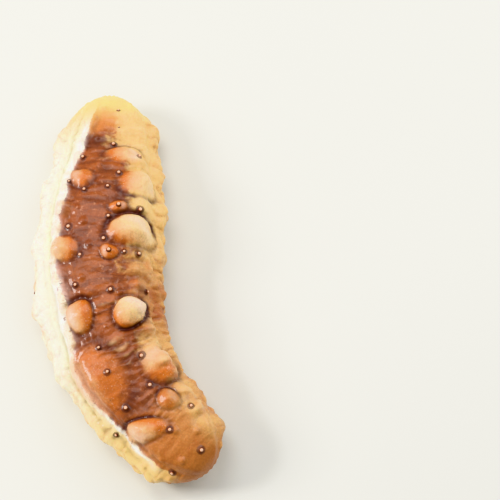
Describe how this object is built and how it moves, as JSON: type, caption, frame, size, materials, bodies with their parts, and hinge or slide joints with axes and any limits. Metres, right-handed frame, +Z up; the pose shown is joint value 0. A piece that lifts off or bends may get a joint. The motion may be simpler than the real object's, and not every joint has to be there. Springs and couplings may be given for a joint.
{
  "type": "sea cucumber",
  "caption": "Thick, loaf-shaped sea cucumber lying in a gentle curve, with broad warts on its back, blunt papillae along both lower edges and tube feet under a flat sole.",
  "frame": {"origin": "On the floor plane, below the centre of the animal's bounding box.", "axes": "+Z up. The animal lies along Y with its head end towards -Y and its tail end towards +Y. The middle of its curve bulges towards -X."},
  "size_m": [0.1291, 0.3338, 0.0644],
  "materials": {
    "skin_back": "wet, smooth and slightly translucent skin, red-brown with cream to orange warts",
    "skin_ends": "wet, smooth skin, ochre to yellow",
    "skin_sole": "soft, moist cream skin",
    "mouth_parts": "soft, moist tan skin, folded"
  },
  "bodies": {
    "root": {"head_end": "skin_ends", "trunk_front": "skin_back", "trunk_middle": "skin_back", "trunk_rear": "skin_back", "tail_end": "skin_ends", "sole_front": "skin_sole", "sole_middle": "skin_sole", "sole_rear": "skin_sole", "mouth": "mouth_parts", "vent": "mouth_parts"}
  },
  "joints": []
}
